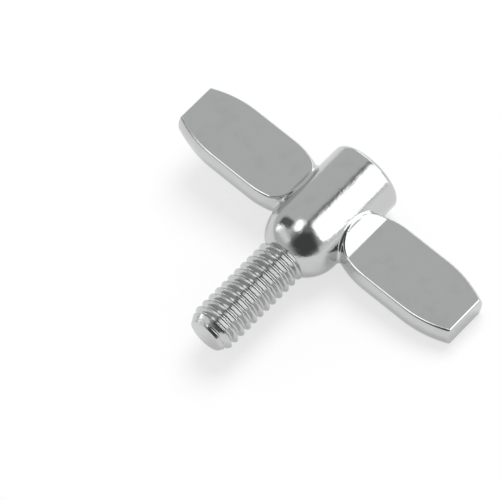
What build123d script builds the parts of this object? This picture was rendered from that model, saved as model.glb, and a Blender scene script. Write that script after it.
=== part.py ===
"""Wing screw: threaded stud, domed hub and two flat wings, one solid piece of metal.

It is drawn upright first: the screw axis is Z, the stud points down, z = 0 is where the
stud leaves the domed shoulder, and the wings reach out along +X and -X.  Then it is laid
down on its hub and one wing tip, the way it comes to rest on a table.
"""
from build123d import *
import os
from math import asin, atan2, cos, degrees, hypot, radians, sin, sqrt, tan

# ---- driving dimensions, in mm -------------------------------------------------------
# stud, with a 5/16-18 UNC external thread
thread_major_diameter = 7.87
thread_pitch = 25.4 / 18
thread_angle = 60                   # included angle between the flanks
crest_width = 0.2                   # this and the root's are measured along the axis
root_width = 0.22
stud_length = 17.6                  # shoulder to the end of the stud
stud_end_diameter = 5.8             # flat left inside the 45 degree lead-in

# hub: a cylinder that closes in a dome towards the stud
hub_diameter = 12.5
hub_length = 19.25                  # shoulder to the plain end
hub_end_rounding = 1.0

# wings: flat faces, round sides
wing_reach = 27.45                  # screw axis to the wing tip
wing_width = 10.4                   # across a flat face
wing_thickness = 4.5
wing_height = 10.0                  # shoulder to the middle of the wings
wing_edge_rounding = 0.35
tip_curve_start = 19.5              # beyond this the long sides curve in to the tip
tip_curve_radius = 20
root_curve_end = 11.6               # inside this the long sides draw in to the hub
root_curve_radius = 14
flare_start = 8.0                   # inside this the flat faces swell out to the hub
flare_start_angle = 12              # the crease where the swell starts
flare_radius = 5
root_fillet = 0.5                   # where the wings run into the hub

# ---- worked out from those -----------------------------------------------------------
hub_radius = hub_diameter / 2
dome_height = sqrt(hub_radius**2 - (thread_major_diameter / 2) ** 2)  # centre of the dome
half_thickness = wing_thickness / 2
side_radius = hypot(wing_width / 2, half_thickness)     # of the wings' round sides
wing_base = hub_radius / 2                              # where a wing starts, inside the hub

# ---- hub -----------------------------------------------------------------------------
with BuildPart() as hub:
    with BuildSketch(Plane.XZ) as hub_half:
        with BuildLine():
            dome_foot = (0, dome_height - hub_radius)
            dome_rim = (hub_radius, dome_height)
            RadiusArc(dome_foot, dome_rim, -hub_radius)
            Polyline(dome_rim, (hub_radius, hub_length), (0, hub_length), dome_foot)
        make_face()
        end_corner = hub_half.vertices().group_by(Axis.Y)[-1].sort_by(Axis.X)[-1]
        fillet(end_corner, hub_end_rounding)
    revolve(axis=Axis.Z)

# ---- one wing, on +X -----------------------------------------------------------------
root_drop = root_curve_radius - sqrt(root_curve_radius**2 - (root_curve_end - wing_base) ** 2)
tip_drop = tip_curve_radius - sqrt(tip_curve_radius**2 - (wing_reach - tip_curve_start) ** 2)
swell_angle = radians(flare_start_angle)
swell_centre_reach = flare_start + flare_radius * sin(swell_angle)
swell_centre_height = half_thickness + flare_radius * cos(swell_angle)
flare_end = flare_start - 0.64 * flare_radius           # inside the hub, or inside the round sides
flare_top = swell_centre_height - sqrt(flare_radius**2 - (swell_centre_reach - flare_end) ** 2)

with BuildPart() as wing:
    # a round bar, drawn in at the root and at the tip
    wing_axis = Axis((0, 0, wing_height), (1, 0, 0))
    with BuildSketch(Plane.XZ) as bar_half:
        with BuildLine():
            crown = wing_height + side_radius
            RadiusArc((wing_base, crown - root_drop), (root_curve_end, crown), root_curve_radius)
            Line((root_curve_end, crown), (tip_curve_start, crown))
            RadiusArc((tip_curve_start, crown), (wing_reach, crown - tip_drop), tip_curve_radius)
            Polyline(
                (wing_reach, crown - tip_drop),
                (wing_reach, wing_height),
                (wing_base, wing_height),
                (wing_base, crown - root_drop),
            )
        make_face()
    revolve(axis=wing_axis)
    # flattened on both sides, with a hollow curve that swells out to the hub
    with BuildSketch(Plane.XY.offset(wing_height)) as blade:
        with BuildLine():
            RadiusArc((flare_end, flare_top), (flare_start, half_thickness), -flare_radius)
            Polyline(
                (flare_start, half_thickness),
                (wing_reach, half_thickness),
                (wing_reach, 0),
                (wing_base, 0),
                (wing_base, flare_top),
                (flare_end, flare_top),
            )
        make_face()
        mirror(about=Plane.XZ)
    extrude(amount=side_radius, both=True, mode=Mode.INTERSECT)
    # every edge is softened, apart from the hollow creases and the seams of one smooth surface
    rings = wing.edges().filter_by(GeomType.CIRCLE)
    side_seams = rings.filter_by_position(Axis.X, 0, wing_reach, (True, False))
    hollow_creases = wing.edges().filter_by_position(Axis.X, flare_start, flare_start)
    fillet(wing.edges() - side_seams - hollow_creases, wing_edge_rounding)

# ---- stud: a core with the thread's ridge wound round it -------------------------------
flank_slope = tan(radians(thread_angle / 2))
thread_depth = (thread_pitch - crest_width - root_width) / 2 / flank_slope
major_radius = thread_major_diameter / 2
core_radius = major_radius - thread_depth
ridge_sink = 0.1                                        # how deep the ridge's foot is in the core
ridge_start = -stud_length - 1.42 * thread_pitch        # below the end, to be cut off with it
ridge_height = 0.8 * thread_pitch - ridge_start         # it runs out inside the dome
blank_end = ridge_start - thread_pitch                  # the stud before its end is turned

with BuildPart() as stud:
    # core
    with BuildSketch(Plane.XY.offset(blank_end)):
        Circle(core_radius)
    extrude(amount=dome_height - blank_end)
    # ridge
    with BuildLine() as winding:
        Helix(thread_pitch, ridge_height, core_radius, center=(0, 0, ridge_start))
    with BuildSketch(Plane.XZ) as ridge_section:
        with BuildLine():
            half_crest = crest_width / 2
            half_foot = half_crest + (thread_depth + ridge_sink) * flank_slope
            Polyline(
                (core_radius - ridge_sink, ridge_start - half_foot),
                (major_radius, ridge_start - half_crest),
                (major_radius, ridge_start + half_crest),
                (core_radius - ridge_sink, ridge_start + half_foot),
                close=True,
            )
        make_face()
    sweep(path=winding.line, is_frenet=True)
    # flat end and 45 degree lead-in: everything outside them is turned off
    with BuildSketch(Plane.XZ) as waste:
        with BuildLine():
            end_radius = stud_end_diameter / 2
            waste_depth = 2 * major_radius - end_radius
            Polyline(
                (0, -stud_length),
                (end_radius, -stud_length),
                (end_radius + waste_depth, -stud_length + waste_depth),
                (end_radius + waste_depth, blank_end),
                (0, blank_end),
                close=True,
            )
        make_face()
    revolve(axis=Axis.Z, mode=Mode.SUBTRACT)

# ---- the whole screw, upright ---------------------------------------------------------
with BuildPart() as upright_screw:
    add(hub.part)
    add(wing.part)
    mirror(wing.part, about=Plane.YZ)
    # the curves where the wings meet the hub
    joint_curves = upright_screw.edges().filter_by(
        lambda edge: edge.geom_type == GeomType.BSPLINE
        and abs(hypot((edge @ 0).X, (edge @ 0).Y) - hub_radius) < 0.001
        and abs(hypot((edge @ 1).X, (edge @ 1).Y) - hub_radius) < 0.001
    )
    fillet(joint_curves, root_fillet)
    add(stud.part)

# ---- laid down on the hub and one wing tip --------------------------------------------
# rolled about its axis until the rounded edge of that tip is as low as the hub
tip_reach = wing_reach - wing_edge_rounding
tip_depth = half_thickness - wing_edge_rounding
roll = asin((hub_radius - wing_edge_rounding) / hypot(tip_reach, tip_depth)) - atan2(tip_depth, tip_reach)
resting_plane = Plane(
    origin=(0, (stud_length - hub_length) / 2, hub_radius),
    x_dir=Vector(-1, 0, 0).rotate(Axis.Y, degrees(roll)),
    z_dir=(0, 1, 0),
)
with BuildPart(resting_plane) as wing_screw:
    add(upright_screw.part)

wing_screw.part.label = "wing_screw"
os.makedirs("parts", exist_ok=True)
export_step(wing_screw.part, "parts/wing_screw.step")
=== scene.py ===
import math
import bpy
from mathutils import Matrix, Vector


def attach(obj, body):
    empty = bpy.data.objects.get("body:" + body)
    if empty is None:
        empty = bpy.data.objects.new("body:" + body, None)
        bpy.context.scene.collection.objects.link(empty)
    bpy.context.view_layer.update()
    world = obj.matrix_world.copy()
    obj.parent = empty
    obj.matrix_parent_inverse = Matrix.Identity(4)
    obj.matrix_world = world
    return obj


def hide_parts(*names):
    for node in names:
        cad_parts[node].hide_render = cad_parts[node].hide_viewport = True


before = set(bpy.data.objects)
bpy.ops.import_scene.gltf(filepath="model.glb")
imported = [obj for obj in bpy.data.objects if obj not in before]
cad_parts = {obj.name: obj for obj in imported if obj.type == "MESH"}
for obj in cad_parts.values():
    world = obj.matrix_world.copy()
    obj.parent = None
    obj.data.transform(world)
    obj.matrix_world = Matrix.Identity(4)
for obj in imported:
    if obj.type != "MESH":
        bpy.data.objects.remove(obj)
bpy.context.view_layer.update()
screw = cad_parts["wing_screw"]
print("loaded", screw.name, "with", len(screw.data.polygons), "faces")


# shader maths: a socket that takes part in Python expressions
class Wire:
    def __init__(self, tree, socket):
        self.tree, self.socket = tree, socket

    def node(self, kind, settings=None, inputs=None, out=0):
        made = self.tree.nodes.new(kind)
        for name, value in (settings or {}).items():
            if name == "stops":
                for i, (place, colour) in enumerate(value):
                    stop = made.color_ramp.elements[i] if i < 2 else made.color_ramp.elements.new(place)
                    stop.position, stop.color = place, colour
            else:
                setattr(made, name, value)
        for name, value in (inputs or {}).items():
            if isinstance(value, Wire):
                self.tree.links.new(value.socket, made.inputs[name])
            else:
                made.inputs[name].default_value = value
        return Wire(self.tree, made.outputs[out])

    def maths(self, operation, a, b=0.0):
        return self.node("ShaderNodeMath", {"operation": operation}, {0: a, 1: b})

    def __add__(self, other):
        return self.maths("ADD", self, other)

    def __radd__(self, other):
        return self.maths("ADD", other, self)

    def __sub__(self, other):
        return self.maths("SUBTRACT", self, other)

    def __rsub__(self, other):
        return self.maths("SUBTRACT", other, self)

    def __mul__(self, other):
        return self.maths("MULTIPLY", self, other)

    def __rmul__(self, other):
        return self.maths("MULTIPLY", other, self)


def newMaterial(name):
    material = bpy.data.materials.new(name)
    material.use_nodes = True
    material.node_tree.nodes.clear()
    return material, Wire(material.node_tree, None)


def connectOutput(wire, shader, kind="ShaderNodeOutputMaterial"):
    end = wire.tree.nodes.new(kind)
    wire.tree.links.new(shader.socket, end.inputs["Surface"])


def lightPath(wire, ray):
    return wire.node("ShaderNodeLightPath", out=ray)


# bright plating over the cast and cut metal; lengths are in mm
plating = {
    "colour": (0.556, 0.562, 0.560, 1),
    "dullColour": (0.515, 0.520, 0.517, 1),
    "dullByStain": 0.6, "dullByScratch": 0.3,
    "roughness": 0.06, "stainRough": 0.035, "grainRough": 0.04, "scratchRough": 0.1, "studRough": 0.04,
    "hubEdge": (5.6, 6.6),                          # from the axis, where the hub turns into the wings
    "studEdge": (-1.4, -0.8),                       # along the axis, where the stud meets the dome
    "grainSize": 0.32, "grainHeight": 0.0170,       # fine orange peel of the plating
    "waveSize": 2.4, "waveHeight": 0.0450,          # slow unevenness of the cast surface
    "streakSize": 0.16, "streakLength": 4.0, "streakHeight": 0.0070,    # polishing marks along the hub
    "scratchSize": 0.9, "scratchSpacing": 0.05, "scratchWidth": 0.012, "scratchHeight": 0.0006,
    "scratchPatchSize": 1.5, "scratchPatch": (0.55, 0.7),
    "stainSize": 3.4, "stainPatch": (0.48, 0.72),
    "wingShare": 0.22,                              # the flat wings are smoother than the hub
    "rippleAlong": 0.42, "rippleRound": 1.3, "rippleHeight": 0.055,     # the rolled thread is rougher
}


def platedMetal():
    material, w = newMaterial("platedMetal")
    p = plating
    place = w.node("ShaderNodeTexCoord", out=3)
    mm = w.node("ShaderNodeVectorMath", {"operation": "SCALE"}, {0: place, "Scale": 1000.0})

    def noise(size, detail=2.0, offset=0.0):
        sizes = size if isinstance(size, tuple) else (size, size, size)
        at = w.node("ShaderNodeMapping", None, {
            "Vector": mm, "Scale": tuple(1 / length for length in sizes),
            "Location": (offset, offset, offset),
        })
        return w.node("ShaderNodeTexNoise", None, {
            "Vector": at, "Scale": 1.0, "Detail": detail, "Roughness": 0.55,
        })

    def within(value, low, high):
        return w.node("ShaderNodeMapRange", {"interpolation_type": "SMOOTHSTEP"}, {
            "Value": value, "From Min": low, "From Max": high,
        })

    grain = noise(p["grainSize"], 3.0)
    wave = noise(p["waveSize"], 1.0, 7.3)
    streak = noise((p["streakSize"], p["streakLength"], p["streakSize"]))
    parts = w.node("ShaderNodeSeparateXYZ", None, {"Vector": mm})
    across = Wire(w.tree, parts.socket.node.outputs["X"])
    along = Wire(w.tree, parts.socket.node.outputs["Y"])
    onHub = 1 - within(w.maths("ABSOLUTE", across), *p["hubEdge"])
    onStud = 1 - within(along, *p["studEdge"])
    ripple = noise((p["rippleRound"], p["rippleAlong"], p["rippleRound"]), 2.0, 33.0)
    scratchNoise = noise((p["scratchSize"], p["scratchSpacing"], p["scratchSize"]), 1.0, 3.1)
    scratch = 1 - within(w.maths("ABSOLUTE", scratchNoise - 0.5), 0.0, p["scratchWidth"])
    scratch = scratch * within(noise(p["scratchPatchSize"], 1.0, 11.0), *p["scratchPatch"])
    stain = within(noise(p["stainSize"], 3.0, 21.0), *p["stainPatch"])
    dull = stain * p["dullByStain"] + scratch * p["dullByScratch"]
    shades = {0: dull, 6: p["colour"], 7: p["dullColour"]}
    colour = w.node("ShaderNodeMix", {"data_type": "RGBA"}, shades, 2)
    roughness = p["roughness"] + stain * p["stainRough"] + grain * p["grainRough"]
    roughness = roughness + scratch * p["scratchRough"] + onStud * p["studRough"]
    calm = p["wingShare"] + (1 - p["wingShare"]) * onHub
    height = (grain * p["grainHeight"] + wave * p["waveHeight"]) * calm + streak * onHub * p["streakHeight"]
    height = height - scratch * p["scratchHeight"] + ripple * onStud * p["rippleHeight"]
    bump = w.node("ShaderNodeBump", None, {"Height": height, "Strength": 1.0, "Distance": 0.001})
    connectOutput(w, w.node("ShaderNodeBsdfPrincipled", None, {
        "Base Color": colour, "Metallic": 1.0, "Roughness": roughness, "Normal": bump,
    }))
    return material


def selectOnly(piece):
    bpy.ops.object.select_all(action="DESELECT")
    piece.select_set(True)
    bpy.context.view_layer.objects.active = piece


def applyAll(piece):
    selectOnly(piece)
    for modifier in list(piece.modifiers):
        bpy.ops.object.modifier_apply(modifier=modifier.name)


def pickPoints(piece, wanted):
    bpy.ops.object.mode_set(mode="EDIT")
    bpy.ops.mesh.select_all(action="DESELECT")
    bpy.ops.object.mode_set(mode="OBJECT")
    for vertex in piece.data.vertices:
        vertex.select = wanted(vertex.co)
    bpy.ops.object.mode_set(mode="EDIT")
    bpy.ops.mesh.select_mode(type="VERT")


# the stud with its rolled thread, lengths in mm along and away from the screw's axis
stud = {
    "pitch": 25.4 / 18, "crestRadius": 3.935, "rootRadius": 3.181,
    "crestWidth": 0.26, "rootWidth": 0.28, "crestRound": 0.125, "rootRound": 0.135, "roundSteps": 6,
    "end": -18.425, "shoulder": -0.825, "sunk": 1.1, "ridgeStart": -2.01, "roll": 8.5329, "height": 6.25,
    "endRadius": 2.9, "leadIn": 1.7, "endRound": 0.12, "steps": 96, "turns": 15,
    "blankRadius": 4.3, "blankSides": 192, "smooth": 32,
}


def bevelEnd(blank, size, segments):
    pickPoints(blank, lambda at: at.y * 1000 < stud["end"] + 0.001)
    bpy.ops.mesh.select_mode(type="EDGE")
    bpy.ops.mesh.bevel(offset=size / 1000, segments=segments, affect="EDGES")
    bpy.ops.object.mode_set(mode="OBJECT")


def makeStud():
    t = stud
    flank = (t["pitch"] - t["crestWidth"] - t["rootWidth"]) / 2
    # one turn's outline, drawn from the middle of a root to the middle of the next
    bpy.ops.mesh.primitive_plane_add(size=0.001)
    piece = bpy.context.object
    piece.name = "threadedStud"
    bpy.ops.object.mode_set(mode="EDIT")
    bpy.ops.mesh.select_mode(type="VERT")
    bpy.ops.mesh.select_all(action="SELECT")
    bpy.ops.mesh.merge(type="CENTER")
    first = t["end"] + t["ridgeStart"] - t["pitch"] / 2
    bpy.ops.transform.translate(value=(-t["rootRadius"] / 1000, first / 1000, 0))
    rise = t["crestRadius"] - t["rootRadius"]
    halfRoot = (0, t["rootWidth"] / 2)
    for out, along in (halfRoot, (rise, flank), (0, t["crestWidth"]), (-rise, flank), halfRoot):
        bpy.ops.mesh.extrude_region_move(TRANSFORM_OT_translate={"value": (-out / 1000, along / 1000, 0)})
    bpy.ops.object.mode_set(mode="OBJECT")
    for radius, size in ((t["crestRadius"], t["crestRound"]), (t["rootRadius"], t["rootRound"])):
        low, high = min(v.co.y for v in piece.data.vertices), max(v.co.y for v in piece.data.vertices)
        pickPoints(piece, lambda at: abs(-at.x * 1000 - radius) < 0.001 and low + 1e-6 < at.y < high - 1e-6)
        bpy.ops.mesh.bevel(offset=size / 1000, segments=t["roundSteps"], affect="VERTICES")
        bpy.ops.object.mode_set(mode="OBJECT")
        print("outline points", len(piece.data.vertices))
    wind = piece.modifiers.new("winding", "SCREW")
    wind.axis, wind.angle, wind.screw_offset = "Y", math.tau, t["pitch"] / 1000
    wind.steps = wind.render_steps = t["steps"]
    wind.iterations = t["turns"]
    wind.use_merge_vertices, wind.merge_threshold = False, 1e-7
    applyAll(piece)
    bpy.ops.object.mode_set(mode="EDIT")
    bpy.ops.mesh.select_all(action="SELECT")
    bpy.ops.mesh.remove_doubles(threshold=2e-7)
    bpy.ops.mesh.fill_holes(sides=0)
    bpy.ops.mesh.select_all(action="SELECT")
    bpy.ops.mesh.normals_make_consistent(inside=False)
    bpy.ops.object.mode_set(mode="OBJECT")
    # the blank it is rolled on, with its lead-in
    top, bottom = t["shoulder"] + t["sunk"], t["end"]
    wide = t["blankRadius"]
    bpy.ops.mesh.primitive_cylinder_add(
        vertices=t["blankSides"], radius=wide / 1000, depth=(top - bottom) / 1000,
        location=(0, (top + bottom) / 2000, 0), rotation=(math.pi / 2, 0, 0),
    )
    blank = bpy.context.object
    bpy.ops.object.transform_apply(location=True, rotation=True, scale=True)
    chamfer = wide - t["endRadius"]
    bevelEnd(blank, chamfer, 1)
    for vertex in blank.data.vertices:
        rim = math.hypot(vertex.co.x, vertex.co.z) * 1000 > wide - 0.1
        if rim and vertex.co.y * 1000 < bottom + chamfer + 0.01:
            vertex.co.y = (bottom + chamfer * t["leadIn"]) / 1000
    bevelEnd(blank, t["endRound"], 4)
    cut = piece.modifiers.new("turned", "BOOLEAN")
    cut.operation, cut.solver, cut.object = "INTERSECT", "EXACT", blank
    applyAll(piece)
    bpy.data.objects.remove(blank)
    # rolled as the screw lies, and raised to its axis
    lie = Matrix.Rotation(math.radians(t["roll"]), 4, "Y")
    piece.data.transform(Matrix.Translation((0, 0, t["height"] / 1000)) @ lie)
    return piece


# the hub and wings: the CAD's own surface without its stud
body = {"domeMiddle": (0, 4.0309, 6.25), "domeRadius": 6.25, "studSide": -0.5, "clear": 0.0005}


def makeBody():
    selectOnly(screw)
    bpy.ops.object.duplicate()
    piece = bpy.context.object
    piece.name = "screwBody"
    bpy.ops.object.mode_set(mode="EDIT")
    bpy.ops.mesh.select_all(action="SELECT")
    bpy.ops.mesh.remove_doubles(threshold=1e-6, use_sharp_edge_from_normals=True)
    bpy.ops.object.mode_set(mode="OBJECT")
    keep = piece.modifiers.new("cadNormals", "DATA_TRANSFER")
    keep.object, keep.use_loop_data = screw, True
    keep.data_types_loops, keep.loop_mapping = {"CUSTOM_NORMAL"}, "TOPOLOGY"
    applyAll(piece)
    # what lies outside the dome on the stud's side is thread
    bpy.ops.object.mode_set(mode="EDIT")
    bpy.ops.mesh.select_mode(type="FACE")
    bpy.ops.mesh.select_all(action="DESELECT")
    bpy.ops.object.mode_set(mode="OBJECT")
    middle = Vector(body["domeMiddle"])
    for face in piece.data.polygons:
        place = face.center * 1000
        outsideDome = (place - middle).length > body["domeRadius"] + body["clear"]
        face.select = place.y < body["studSide"] and outsideDome
    bpy.ops.object.mode_set(mode="EDIT")
    bpy.ops.mesh.delete(type="FACE")
    bpy.ops.mesh.select_all(action="SELECT")
    bpy.ops.mesh.fill_holes(sides=0)
    bpy.ops.object.mode_set(mode="OBJECT")
    return piece


screwBody, threadedStud = makeBody(), makeStud()
selectOnly(threadedStud)
bpy.ops.object.shade_smooth_by_angle(angle=math.radians(stud["smooth"]))
metal = platedMetal()
for piece in (screwBody, threadedStud):
    piece.data.materials.clear()
    piece.data.materials.append(metal)
    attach(piece, "root")
    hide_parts("wing_screw")
    print(piece.name, len(piece.data.polygons), "faces")


# camera: the direction it looks from, its turn about that direction, and the point it looks at
cameraView = {
    "azimuth": 54.5, "elevation": 56.5, "roll": -13.9, "distance": 0.598,
    "target": (-0.0062, -0.0022, 0.0042), "lens": 283, "sensor": 36,
}


def addCamera():
    v = cameraView
    a, e = math.radians(v["azimuth"]), math.radians(v["elevation"])
    back = Vector((math.sin(a) * math.cos(e), -math.cos(a) * math.cos(e), math.sin(e)))
    turn = (-back).to_track_quat("-Z", "Y").to_matrix() @ Matrix.Rotation(math.radians(v["roll"]), 3, "Z")
    bpy.ops.object.camera_add(location=Vector(v["target"]) + back * v["distance"], rotation=turn.to_euler())
    camera = bpy.context.object
    camera.data.lens, camera.data.sensor_width = v["lens"], v["sensor"]
    camera.data.clip_start, camera.data.clip_end = 0.01, 20
    bpy.context.scene.camera = camera


addCamera()

# the studio: a tent round the screw, seen only in its reflections. Places on it are degrees from straight
# overhead, towards +X and towards +Y
studio = {
    "reach": 0.6,            # radius of the tent
    "floorSize": 6.0,
    "keepShadow": 0.35,      # how much of the floor's own shade the camera sees
    "keepReflected": 0.6,    # and how much of it the metal reflects
    "cloth": 0.68,           # brightness of the tent's cloth
    "clothTint": (0.985, 1, 1, 1),
    "floorColour": (0.92, 0.92, 0.92, 1),
    "ambient": 0.6,
    "lampPlace": (-0.05, 0.3, 0.65), "lampSize": 0.45, "lampPower": 3.2,
    "panels": [              # middle x, y, half width x, y, turn, softness, brightness
        ("darkRoom", 38, -38, 42, 44, -20, 38, 0.08),
        ("darkOverhead", 12, 4, 16, 15, 0, 9, 0.22),
        ("darkLeft", -45, -14, 22, 13, -8, 8, 0.14),
        ("darkEdge", 6, 30, 3, 30, 0, 5, 0.2),
        ("sideLight", 44, 35, 31, 25, -6, 4, 2.2),
        ("sideSeam", 19, 35, 1, 25, -6, 2, 1.25),
        ("sideHaze", 90, 20, 12, 35, 0, 8, 0.9),
        ("overheadLight", -7, -6, 11, 16, 10, 6, 2.2),
        ("lowLight", -56, -34, 14, 7, -12, 6, 2.1),
        ("lowHaze", -32, -48, 24, 9, -30, 10, 1.0),
        ("backLight", -10, 68, 40, 9, 0, 6, 1.9),
    ],
}


def smoothStep(t):
    t = min(max(t, 0.0), 1.0)
    return t * t * (3 - 2 * t)


def tentGlow(x, y):
    glow = studio["cloth"]
    for name, middleX, middleY, halfX, halfY, turn, soft, value in studio["panels"]:
        c, s = math.cos(math.radians(turn)), math.sin(math.radians(turn))
        u, v = (x - middleX) * c + (y - middleY) * s, (y - middleY) * c - (x - middleX) * s
        # a rectangle with round corners: how far outside it the point is
        corner = min(halfX, halfY) * 0.6
        du, dv = abs(u) - halfX + corner, abs(v) - halfY + corner
        outside = math.hypot(max(du, 0), max(dv, 0)) + min(max(du, dv), 0) - corner
        share = 1 - smoothStep(outside / soft + 0.5)
        glow += (value - glow) * share
    return glow


def addTent():
    bpy.ops.mesh.primitive_uv_sphere_add(segments=256, ring_count=128, radius=studio["reach"])
    tent = bpy.context.object
    tent.name = "studioTent"
    mesh = tent.data
    glow = mesh.attributes.new("glow", "FLOAT", "POINT")
    values = []
    for vertex in mesh.vertices:
        away = math.degrees(math.acos(max(-1.0, min(1.0, vertex.co.z / studio["reach"]))))
        around = math.atan2(vertex.co.y, vertex.co.x)
        values.append(tentGlow(away * math.cos(around), away * math.sin(around)))
    glow.data.foreach_set("value", values)
    material, w = newMaterial("tentCloth")
    value = w.node("ShaderNodeAttribute", {"attribute_name": "glow"}, out=2)
    connectOutput(w, w.node("ShaderNodeEmission", None, {"Color": studio["clothTint"], "Strength": value}))
    mesh.materials.append(material)
    tent.visible_camera = tent.visible_diffuse = tent.visible_shadow = tent.visible_transmission = False


addTent()


def addFloor():
    bpy.ops.mesh.primitive_plane_add(size=studio["floorSize"], location=(0, 0, 0))
    floor = bpy.context.object
    floor.name = "floor"
    material, w = newMaterial("paleFloor")
    mirrored = lightPath(w, "Is Glossy Ray") + lightPath(w, "Is Transmission Ray")
    seen = lightPath(w, "Is Camera Ray") * (1 - studio["keepShadow"])
    seen = seen + mirrored * (1 - studio["keepReflected"])
    matte = w.node("ShaderNodeBsdfDiffuse", None, {"Color": studio["floorColour"]})
    white = w.node("ShaderNodeEmission", None, {"Color": (1, 1, 1, 1), "Strength": 1.0})
    seen = w.maths("MINIMUM", seen, 1.0)
    connectOutput(w, w.node("ShaderNodeMixShader", None, {0: seen, 1: matte, 2: white}))
    floor.data.materials.append(material)


addFloor()


def addWorld():
    world = bpy.data.worlds.new("studioWorld")
    bpy.context.scene.world = world
    world.use_nodes = True
    world.node_tree.nodes.clear()
    w = Wire(world.node_tree, None)
    mirrored = lightPath(w, "Is Glossy Ray") + lightPath(w, "Is Transmission Ray")
    seen = w.maths("MINIMUM", lightPath(w, "Is Camera Ray") + mirrored, 1.0)
    ambient = w.node("ShaderNodeBackground", None, {"Color": (1, 1, 1, 1), "Strength": studio["ambient"]})
    white = w.node("ShaderNodeBackground", None, {"Color": (1, 1, 1, 1), "Strength": 1.0})
    mixed = w.node("ShaderNodeMixShader", None, {0: seen, 1: ambient, 2: white})
    connectOutput(w, mixed, "ShaderNodeOutputWorld")


addWorld()


def addLamp():
    place = Vector(studio["lampPlace"])
    bpy.ops.object.light_add(type="AREA", location=place)
    lamp = bpy.context.object
    lamp.data.shape, lamp.data.size, lamp.data.energy = "DISK", studio["lampSize"], studio["lampPower"]
    lamp.rotation_euler = (-place).to_track_quat("-Z", "Y").to_euler()
    lamp.visible_glossy = False


addLamp()
print("camera, tent, floor, world and lamp are in place")

bpy.context.scene.view_settings.view_transform = "Standard"
